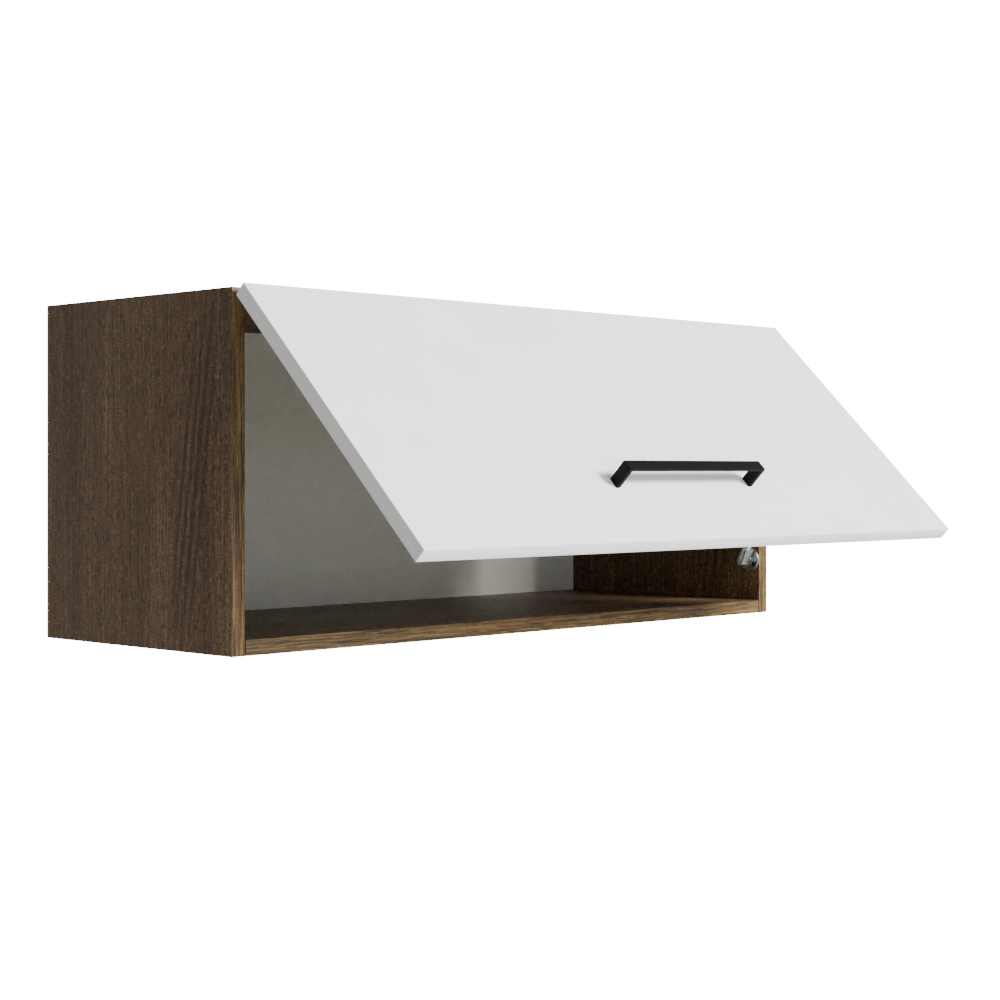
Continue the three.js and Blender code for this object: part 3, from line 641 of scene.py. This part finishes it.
# %% [markdown]
# ## Back panel
#
# The back is a 3 mm sheet of hardboard nailed behind the box, painted light grey inside and
# left raw and brown outside. Two slots let the hooks of the hanging brackets through to the
# wall rail. It is drawn as a thin box with its slots cut through and the paint on one face.

# %% Back panel
hook_slot_x = (370.7 * mm, 381.3 * mm)
hook_slot_z = (123.2 * mm, 135.8 * mm)

back_low, back_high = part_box("back_panel")
back = add_box("back", back_low, back_high)
for side, name in sides:
    x_low, x_high = sorted((side * hook_slot_x[0], side * hook_slot_x[1]))
    cut_with(back, add_box("slot", (x_low, back_low.y - mm, hook_slot_z[0]),
                           (x_high, back_high.y + mm, hook_slot_z[1])))
round_edges(back, 0.2 * mm, 2, angle=60)
two_finishes(back, raw_hardboard, painted_hardboard, lambda middle, normal: normal.y < -0.5)
settle(back, "back_panel", None, "cabinet")
print("back panel faces:", len(back.data.polygons))

# %% [markdown]
# ## Door
#
# The door is a white faced board with a 1 mm band on all four edges. So the board is sliced a
# band's thickness inside every edge and the strip gets the slightly glossier band plastic. Two
# 35 mm pockets take the hinge cups. It is drawn shut, in the door's own frame, and turned as a
# whole.

# %% Door
door_low = Vector((-398 * mm, -6.8 * mm, -331.1 * mm))
door_high = Vector((398 * mm, 8.2 * mm, 1.9 * mm))
hinge_x = 300 * mm
cup_z = -20.6 * mm
cup_bore_radius, cup_bore_floor = 17.5 * mm, -3.3 * mm

door = add_box("door_board", door_low, door_high)
slice_through(door, (((door_low.x + band_thickness, 0, 0), X),
                     ((door_high.x - band_thickness, 0, 0), X),
                     ((0, 0, door_low.z + band_thickness), Z),
                     ((0, 0, door_high.z - band_thickness), Z)))
round_edges(door, 0.8 * mm, angle=60)
two_finishes(door, white_melamine, white_edge_band, lambda middle, normal: (
    abs(middle.x) > door_high.x - band_thickness or middle.z < door_low.z + band_thickness
    or middle.z > door_high.z - band_thickness))
for side, name in sides:
    cut_with(door, add_disc("cup_bore", (side * hinge_x, cup_bore_floor, cup_z), Y,
                            cup_bore_radius, 15 * mm))
settle(door, "door", None, "door", door_frame)
print("door faces:", len(door.data.polygons))

# %% [markdown]
# ## Handle
#
# A flat steel bar on two legs, powder coated black. It is made from the bar alone: the bar is
# sliced where the legs start, and the two end faces at its back are extruded towards the door.
# Coating never leaves a sharp edge, so the edges are rounded at the end.

# %% Handle
handle_half = 104 * mm
handle_leg = 5 * mm
handle_front, handle_bar_back, handle_foot = -31.8 * mm, -28.8 * mm, -7.1 * mm
handle_rise = 6.2 * mm
handle_z = -256.8 * mm

handle = add_box("bar", (-handle_half, handle_front, handle_z - handle_rise),
                 (handle_half, handle_bar_back, handle_z + handle_rise))
slice_through(handle, [((x, 0, 0), X)
                       for x in (handle_leg - handle_half, handle_half - handle_leg)])
select_faces(handle, lambda middle, normal: (
    normal.y > 0.9 and abs(middle.x) > handle_half - handle_leg))
bpy.ops.mesh.extrude_region_move(
    TRANSFORM_OT_translate={"value": (0, handle_foot - handle_bar_back, 0)})
round_edges(handle, 0.7 * mm, angle=60)
settle(handle, "handle", handle_paint, "door", door_frame)
print("handle stands", round((door_low.y - handle_front) / mm, 1), "mm off the door")

# %% [markdown]
# ## Screws
#
# All the wood screws are one kind: a low domed head with a cross recess, on a shank with a
# pointed tip. One is modelled upright at the origin. The shank starts as the inset underside of
# the head, extruded in two steps, the last one tapered. Every screw is then a copy of it,
# turned by a different amount, because no two screws stop at the same angle.

# %% Screw masters
recess_half = 0.45 * mm
tip_taper = 0.15


def screw_master(head_radius, head_height, shank_radius, reach, recess):
    """A screw along z: head above z = 0, shank below."""
    screw = add_disc("screw", (0, 0, 0), Z, head_radius, head_height, 36)
    select_faces(screw, lambda middle, normal: normal.z < -0.9)
    bpy.ops.mesh.inset(thickness=head_radius - shank_radius, depth=0)
    tip = min(3 * mm, reach * 0.3)
    bpy.ops.mesh.extrude_region_move(TRANSFORM_OT_translate={"value": (0, 0, tip - reach)})
    bpy.ops.mesh.extrude_region_move(TRANSFORM_OT_translate={"value": (0, 0, -tip)})
    bpy.ops.transform.resize(value=(tip_taper, tip_taper, 1))
    round_rim(screw, lambda middle, normal: normal.z > 0.9, min(0.45 * head_height, 0.8 * mm), 4)
    for arm_x, arm_y in ((recess, recess_half), (recess_half, recess)):
        cut_with(screw, add_box("arm", (-arm_x, -arm_y, head_height - 0.7 * head_height),
                                (arm_x, arm_y, head_height + mm)))
    return screw


wood_screw = screw_master(3 * mm, 1.6 * mm, 1.5 * mm, 10 * mm, 1.8 * mm)
handle_screw = screw_master(4 * mm, 2.2 * mm, 1.5 * mm, 23.3 * mm, 2.4 * mm)
print("screw faces:", len(wood_screw.data.polygons))

# %% Place every screw by the point under its head and the way its head faces
side_face = 383 * mm  # the inner face of the fittings on the side boards
hanger_screw_y, hanger_screw_z = -42.3 * mm, {"upper": 136.5 * mm, "lower": 106.5 * mm}
wing_face, wing_screw_y, wing_screw_step = 151 * mm, -264 * mm, 16 * mm
cup_face, cup_screw_z, cup_screw_step = 9.7 * mm, -26.6 * mm, 24 * mm
seat_screw_spots = [(-294.95 * mm, -110.0 * mm), (-287.75 * mm, -94.8 * mm),
                    (-278.25 * mm, -108.7 * mm)]
bracket_x, bracket_face, bracket_z = 350 * mm, 10.5 * mm, -103.1 * mm
bracket_screw_step = 9 * mm
handle_screw_x, handle_screw_face = 101.5 * mm, 8.5 * mm

screws = []
for side, name in sides:
    for level, z in hanger_screw_z.items():
        screws.append((f"{name}_hanger_screw_{level}", (side * side_face, hanger_screw_y, z),
                       (-side, 0, 0), "cabinet"))
    for step, part in sides:
        screws.append((f"{name}_plate_screw_{part}",
                       (side * hinge_x + step * wing_screw_step, wing_screw_y, wing_face),
                       (0, 0, -1), "cabinet"))
        screws.append((f"{name}_cup_screw_{part}",
                       (side * hinge_x + step * cup_screw_step, cup_face, cup_screw_z), Y, "door"))
for number, (y, z) in enumerate(seat_screw_spots, 1):
    screws.append((f"strut_plate_screw_{number}", (side_face, y, z), (-1, 0, 0), "cabinet"))
for step, part in ((-1, "lower"), (1, "upper")):
    screws.append((f"strut_bracket_screw_{part}",
                   (bracket_x, bracket_face, bracket_z + step * bracket_screw_step), Y, "door"))
for step, part in sides:
    screws.append((f"handle_screw_{part}", (step * handle_screw_x, handle_screw_face, handle_z),
                   Y, "door"))

body_frames = {"cabinet": cabinet_frame, "door": door_frame}
for number, (name, place, outward, body) in enumerate(screws):
    finish, slot_name = ((screw_black, "screw_black") if name.startswith("strut_plate")
                         else (screw_zinc, "screw_zinc"))
    stand = Vector(outward).to_track_quat("Z", "Y").to_matrix().to_4x4()
    stop = Matrix.Rotation(math.radians(37 * number), 4, "Z")
    settle(copy_piece(handle_screw if name.startswith("handle") else wood_screw), name, finish,
           body, body_frames[body] @ Matrix.Translation(place) @ stand @ stop)
for master in (wood_screw, handle_screw):
    bpy.data.objects.remove(master)
print("screws:", len(screws))

# %% [markdown]
# ## Hinge cups, pins and links
#
# A concealed hinge is a pressed cup in the door with a flange and two screw ears, a pin across
# the cup, and a link that comes out of it. The cup is a disc for the bowl fused with the flange
# and the ears, then bored out. Pressed steel has soft edges everywhere.

# %% Hinge cups and pins
seat = 8.5 * mm  # where fittings start on the inside of the door
bowl_floor = -3.0 * mm
bowl_radius, mouth_radius = 17.2 * mm, 16.2 * mm
flange_radius, ear_radius = 19.5 * mm, 6 * mm
pin_place, pin_radius, pin_length = (-14.2 * mm, 3.2 * mm, -25.6 * mm), 2 * mm, 28.4 * mm

cup = add_disc("cup", (0, bowl_floor, cup_z), Y, bowl_radius, cup_face - bowl_floor, 64)
join_with(cup, add_disc("flange", (0, seat, cup_z), Y, flange_radius, cup_face - seat, 64),
          add_box("ear_bar", (-cup_screw_step, seat, cup_screw_z - ear_radius),
                  (cup_screw_step, cup_face, cup_screw_z + ear_radius)),
          *[add_disc("ear", (x, seat, cup_screw_z), Y, ear_radius, cup_face - seat)
            for x in (-cup_screw_step, cup_screw_step)])
cut_with(cup, add_disc("mouth", (0, bowl_floor + mm, cup_z), Y, mouth_radius, 20 * mm, 64))
round_edges(cup, 0.35 * mm, 2)
pin = add_disc("pin", pin_place, X, pin_radius, pin_length, 32)
round_edges(pin, 0.4 * mm, 2)
settle_pairs({"hinge_cup": cup, "hinge_pin": pin}, nickel_plating, "door",
             door_frame, hinge_x)
print("hinge cups and pins: 2 of each")

# %% Hinge links
link_half, link_length, link_thickness = 4 * mm, 33 * mm, 2.4 * mm
eye_radius, eye_bore = 3.9 * mm, 2.3 * mm
lightening_y, lightening_radius = 17 * mm, 1.8 * mm
link_share = 0.36  # of the door's angle, which is how far a link has turned with the door

link = add_disc("link", (-link_half, 0, 0), X, eye_radius, 2 * link_half)
tail_y = link_length - link_thickness / 2
join_with(link, add_box("tongue", (-link_half, 0, -link_thickness / 2),
                        (link_half, tail_y, link_thickness / 2)),
          add_disc("tail", (-link_half, tail_y, 0), X, link_thickness / 2, 2 * link_half, 24))
cut_with(link, add_disc("bore", (-5 * mm, 0, 0), X, eye_bore, 10 * mm, 32),
         add_disc("lightening", (0, lightening_y, -3 * mm), Z, lightening_radius, 6 * mm, 32))
round_edges(link, 0.3 * mm, 2)
for side, name in sides:
    stand = Matrix.Rotation(-door_open * link_share, 4, "X")
    place = Matrix.Translation(joints[name + "_link_swing"]["pos_m"])
    settle(copy_piece(link), name + "_hinge_link", nickel_plating, name + "_link",
           place @ stand)
bpy.data.objects.remove(link)
print("links turned", round(math.degrees(door_open * link_share), 1), "degrees from shut")

# %% [markdown]
# ## Hinge arms and mounting plates
#
# The arm is a channel of folded sheet. So a thin floor is added, sliced where the walls start,
# and the two outer strips are extruded up. The upper corners of the walls are rounded off, and
# the floor has two holes where a screwdriver reaches the adjusting slots behind. The plate has
# two flat wings under the top board and a ridge that stands in the channel.

# %% Hinge arms
arm_half, arm_wall = 8 * mm, 1.5 * mm
arm_front, arm_rear = -305 * mm, -239 * mm
arm_bottom, arm_top = 130.8 * mm, 146.5 * mm
adjusting_y, hole_radius = (-250 * mm, -264 * mm), 3.2 * mm

arm = add_box("arm", (-arm_half, arm_front, arm_bottom),
              (arm_half, arm_rear, arm_bottom + arm_wall))
slice_through(arm, [((x, 0, 0), X) for x in (arm_wall - arm_half, arm_half - arm_wall)])
select_faces(arm, lambda middle, normal: normal.z > 0.9 and abs(middle.x) > arm_half - arm_wall)
bpy.ops.mesh.extrude_region_move(
    TRANSFORM_OT_translate={"value": (0, 0, arm_top - arm_bottom - arm_wall)})
for y in (arm_front, arm_rear):
    activate(arm)
    bpy.ops.object.mode_set(mode="EDIT")
    bpy.ops.mesh.select_mode(type="EDGE")
    bpy.ops.mesh.select_all(action="DESELECT")
    shape = bmesh.from_edit_mesh(arm.data)
    for edge in shape.edges:
        start, end = (vertex.co for vertex in edge.verts)
        off = (start + end) / 2 - Vector((0, y, arm_top))
        edge.select_set(abs(start.x - end.x) > mm and max(abs(off.y), abs(off.z)) < 0.1 * mm)
    bmesh.update_edit_mesh(arm.data)
    bpy.ops.mesh.bevel(offset=5 * mm, segments=6, affect="EDGES")
for y in adjusting_y:
    cut_with(arm, add_disc("screwdriver_hole", (0, y, arm_bottom - mm), Z, hole_radius,
                           4 * mm, 32))
round_edges(arm, 0.35 * mm, 2)
print("arm", round((arm_rear - arm_front) / mm), "mm long")

# %% Mounting plates
wing_half, wing_front, wing_rear, top_underside = 24 * mm, -272 * mm, -256 * mm, 152.5 * mm
ridge_half, ridge_bottom, ridge_rear = 6.2 * mm, 132.6 * mm, -243 * mm
slot_reach, slot_half, slot_depth = 2.2 * mm, 0.5 * mm, 1.2 * mm

plate = add_box("plate", (-wing_half, wing_front, wing_face),
                (wing_half, wing_rear, top_underside))
join_with(plate, add_box("ridge", (-ridge_half, wing_front, ridge_bottom),
                         (ridge_half, ridge_rear, top_underside)))
for y in adjusting_y:
    cut_with(plate, add_box("slot", (-slot_reach, y - slot_half, ridge_bottom - mm),
                            (slot_reach, y + slot_half, ridge_bottom + slot_depth)))
round_edges(plate, 0.4 * mm, 2)
settle_pairs({"hinge_arm": arm, "hinge_plate": plate}, nickel_plating, "cabinet",
             cabinet_frame, hinge_x)
print("hinge arms and plates: 2 of each")

# %% [markdown]
# ## Hanging brackets
#
# In each upper rear corner sits a bracket that carries the cabinet on a wall rail: a
# zinc-plated side plate screwed to the side board, a hook through the back, and a plastic cover
# whose front shows the two adjusting screws. One mesh has both finishes. The left one is
# modelled and mirrored.

# %% Hanging brackets
hanger_boxes = {  # low and high corner in millimetres
    "side_plate": ((-385, -49.3, 94.5), (-383, -3.3, 148.5)),
    "cover": ((-384, -35.3, 100.5), (-369, -3.3, 142.5)),
    "hook": ((-381, -4.3, 123.5), (-371, -1, 135.5)),
}
adjuster_x, adjuster_spots = -376 * mm, (111 * mm, 132 * mm)
well_mouth, well_radius, well_depth = -36.3 * mm, 3.4 * mm, 5 * mm
adjuster_face, adjuster_radius, adjuster_length = -33.6 * mm, 3.0 * mm, 4 * mm
adjuster_recess, recess_mouth, recess_floor = 1.9 * mm, -35 * mm, -32.6 * mm

hanger, cover, hook = [add_box(name, *[[v * mm for v in corner] for corner in corners])
                       for name, corners in hanger_boxes.items()]
join_with(hanger, cover, hook)
round_edges(hanger, 0.8 * mm)
for z in adjuster_spots:
    cut_with(hanger, add_disc("well", (adjuster_x, well_mouth, z), Y, well_radius, well_depth, 32))
    head = add_disc("adjusting_screw", (adjuster_x, adjuster_face, z), Y,
                    adjuster_radius, adjuster_length, 32)
    for arm_x, arm_z in ((adjuster_recess, recess_half), (recess_half, adjuster_recess)):
        cut_with(head, add_box("arm", (adjuster_x - arm_x, recess_mouth, z - arm_z),
                               (adjuster_x + arm_x, recess_floor, z + arm_z)))
    join_with(hanger, head)


def hanger_metal(middle, normal):
    """The side plate, the hook and the adjusting screws are metal, the cover is plastic."""
    off_axis = min(math.hypot(middle.x - adjuster_x, middle.z - z) for z in adjuster_spots)
    adjuster = off_axis < 3.1 * mm and -34.9 * mm < middle.y < -30 * mm
    return middle.x < -383.0 * mm or middle.y > -3.25 * mm or adjuster


two_finishes(hanger, hanger_nylon, zinc_plating, hanger_metal)
activate()
right_hanger = copy_piece(hanger)
activate(right_hanger)
bpy.ops.object.mode_set(mode="EDIT")
bpy.ops.mesh.select_all(action="SELECT")
bpy.ops.transform.mirror(constraint_axis=(True, False, False), center_override=(0, 0, 0))
bpy.ops.mesh.remove_doubles(threshold=0.001 * mm)
bpy.ops.mesh.normals_make_consistent(inside=False)
settle(hanger, "left_hanging_bracket", None, "cabinet")
settle(right_hanger, "right_hanging_bracket", None, "cabinet")
right_start = min(vertex.co.x for vertex in right_hanger.data.vertices)
print("right bracket starts at x =", round(right_start / mm, 1), "mm")

# %% [markdown]
# ## Door bumpers
#
# Two small domes of clear soft plastic keep the door from slapping on the side boards. Each
# starts as a disc, and a wide bevel on its free end makes the dome.

# %% Door bumpers
bumper_x, bumper_z = 390.5 * mm, -316.1 * mm
bumper_radius, bumper_height = 4 * mm, 1.3 * mm

bumper = add_disc("bumper", (0, seat, bumper_z), Y, bumper_radius, bumper_height, 40)
round_rim(bumper, lambda middle, normal: normal.y > 0.9, 1.0 * mm, 6)
activate()
settle_pairs({"door_bumper": bumper}, clear_rubber, "door", door_frame, bumper_x)
print("bumpers: 2")

# %% [markdown]
# ## Strut's seats
#
# The strut's lower end turns on a stud in a round plate, screwed to the right side board. Its
# upper end hangs on a riveted stud in an angle bracket on the door. The bracket is a foot with
# a leg: the leg's far end is narrowed in edit mode and gets a round end about the stud.

# %% Lower plate and stud
seat_middle = Vector((side_face, -287 * mm, -104.5 * mm))
seat_radius, seat_thickness = 14 * mm, 2 * mm
stud_radius, stud_height = 5 * mm, 2.7 * mm
shank_radius, stud_hole = 2.5 * mm, 2.8 * mm

seat_plate = add_disc("plate", seat_middle, X, seat_radius, seat_thickness, 64)
round_edges(seat_plate, 0.5 * mm)
cut_with(seat_plate, add_disc("stud_hole", seat_middle - Vector((mm, 0, 0)), X,
                              stud_hole, 4 * mm, 32))
settle(seat_plate, "strut_lower_plate", zinc_plating, "cabinet")

lower_stud = add_disc("stud", seat_middle - Vector((stud_height, 0, 0)), X,
                      stud_radius, stud_height, 40)
round_edges(lower_stud, 0.4 * mm, 2)
join_with(lower_stud, add_disc("shank", seat_middle - Vector((0.3 * mm, 0, 0)), X,
                               shank_radius, seat_thickness, 32))
settle(lower_stud, "strut_lower_stud", zinc_plating, "cabinet")
print("lower plate and stud at", [round(v / mm, 1) for v in seat_middle])

# %% Upper bracket and stud
leg_x = (362 * mm, 364 * mm)
foot_left, foot_half = 338 * mm, 15 * mm
stud_y, leg_end = 20.2 * mm, 7 * mm
stud_head = 4.5 * mm
stud_discs = {  # start along x, radius and length
    "rivet": (359.7 * mm, stud_head, 2 * mm),
    "shank": (360.7 * mm, shank_radius, 20.6 * mm),
    "collar": (364.3 * mm, stud_head, 2.4 * mm),
    "keeper": (380.3 * mm, stud_head, 2 * mm),
}

foot = add_box("foot", (foot_left, seat, bracket_z - foot_half),
               (leg_x[1], bracket_face, bracket_z + foot_half))
leg = add_box("leg", (leg_x[0], seat, bracket_z - foot_half),
              (leg_x[1], stud_y, bracket_z + foot_half))
select_faces(leg, lambda middle, normal: normal.y > 0.9)
bpy.ops.transform.resize(value=(1, 1, leg_end / foot_half))
join_with(foot, leg, add_disc("ear", (leg_x[0], stud_y, bracket_z), X, leg_end, 2 * mm))
cut_with(foot, add_disc("stud_hole", (361 * mm, stud_y, bracket_z), X, stud_hole, 4 * mm, 32))
round_edges(foot, 0.4 * mm, 2)
settle(foot, "strut_upper_bracket", zinc_plating, "door", door_frame)

upper_stud, *others = [add_disc(name, (start, stud_y, bracket_z), X, radius, length, 40)
                       for name, (start, radius, length) in stud_discs.items()]
join_with(upper_stud, *others)
round_edges(upper_stud, 0.4 * mm, 2)
settle(upper_stud, "strut_upper_stud", zinc_plating, "door", door_frame)
print("upper stud at", [round(v / mm, 1) for v in strut_stud])

# %% [markdown]
# ## Gas strut
#
# A painted steel tube holds the gas and a chromed rod slides out of it. At both ends a die-cast
# eye with a slotted face turns on its stud. The tube is a bored cylinder: its closed end gets a
# round shoulder and its open end is rolled in. Everything is drawn hanging straight down from
# the upper stud and then leaned over.

# %% Strut fittings
fitting_half, fitting_thin, fitting_crown = 6.5 * mm, 4 * mm, 3 * mm
groove_half, groove_depth = 1.5 * mm, 2 * mm
strut_span = 200.395 * mm  # between the two studs


def end_fitting(reach, bore_radius, bore_place, bore_axis, bore_length):
    """A fitting with its eye at the origin and its body reaching down, bored for stud or rod."""
    body = add_box("fitting", (-fitting_half, -fitting_thin, -reach),
                   (fitting_half, fitting_thin, fitting_crown))
    join_with(body, add_disc("round_end", (-fitting_half, 0, fitting_crown), X,
                             fitting_thin, 2 * fitting_half))
    round_edges(body, 0.7 * mm)
    cut_with(body, add_box("groove", (-fitting_half - mm, -groove_half, -reach - mm),
                           (groove_depth - fitting_half, groove_half, fitting_crown)),
             add_disc("bore", bore_place, bore_axis, bore_radius, bore_length, 40))
    return body


upper_fitting = end_fitting(10 * mm, stud_hole, (-9 * mm, 0, 0), X, 18 * mm)
settle(upper_fitting, "strut_upper_fitting", fitting_metal, "strut_tube",
       strut_frame)
lower_fitting = end_fitting(14.5 * mm, 3.3 * mm, (0, 0, -15.5 * mm), Z, 9.3 * mm)
settle(lower_fitting, "strut_lower_fitting", fitting_metal, "strut_rod",
       strut_frame @ Matrix.Translation((0, 0, -strut_span)) @ Matrix.Rotation(math.pi, 4, "X"))
print("fittings", round(2 * fitting_half / mm), "mm wide")

# %% Strut tube and rod
tube_top, tube_end, tube_cap = -10.3 * mm, -124.3 * mm, 2 * mm
tube_radius, tube_inside = 7.5 * mm, 6.3 * mm
rod_top, rod_radius, rod_length = -70 * mm, 3 * mm, 123.9 * mm

tube = add_disc("tube", (0, 0, tube_top), (0, 0, -1), tube_radius, tube_top - tube_end, 64)
round_rim(tube, lambda middle, normal: normal.z > 0.9, 1.6 * mm, 5)
round_rim(tube, lambda middle, normal: normal.z < -0.9, 0.7 * mm, 4)
cut_with(tube, add_disc("inside", (0, 0, tube_end - mm), Z, tube_inside,
                        tube_top - tube_end - tube_cap + mm, 64))
settle(tube, "strut_tube", tube_paint, "strut_tube", strut_frame)

rod = add_disc("rod", (0, 0, rod_top), (0, 0, -1), rod_radius, rod_length)
round_edges(rod, 0.4 * mm, 2)
settle(rod, "strut_rod", chrome_plating, "strut_rod", strut_frame)
print("strut tube", round(2 * tube_radius / mm), "mm, rod", round(2 * rod_radius / mm), "mm")

# %% [markdown]
# ## What keeps its construction shape
#
# The rod guide and the piston are plain turned rings inside the tube. Their construction solids
# are already right, so they only get the black nylon.

# %% Finish of the kept pieces
for name in ("strut_rod_guide", "strut_piston"):
    kept = frame["nodes"][name]
    kept.data.materials.clear()
    kept.data.materials.append(black_nylon)
print("kept pieces: 2")
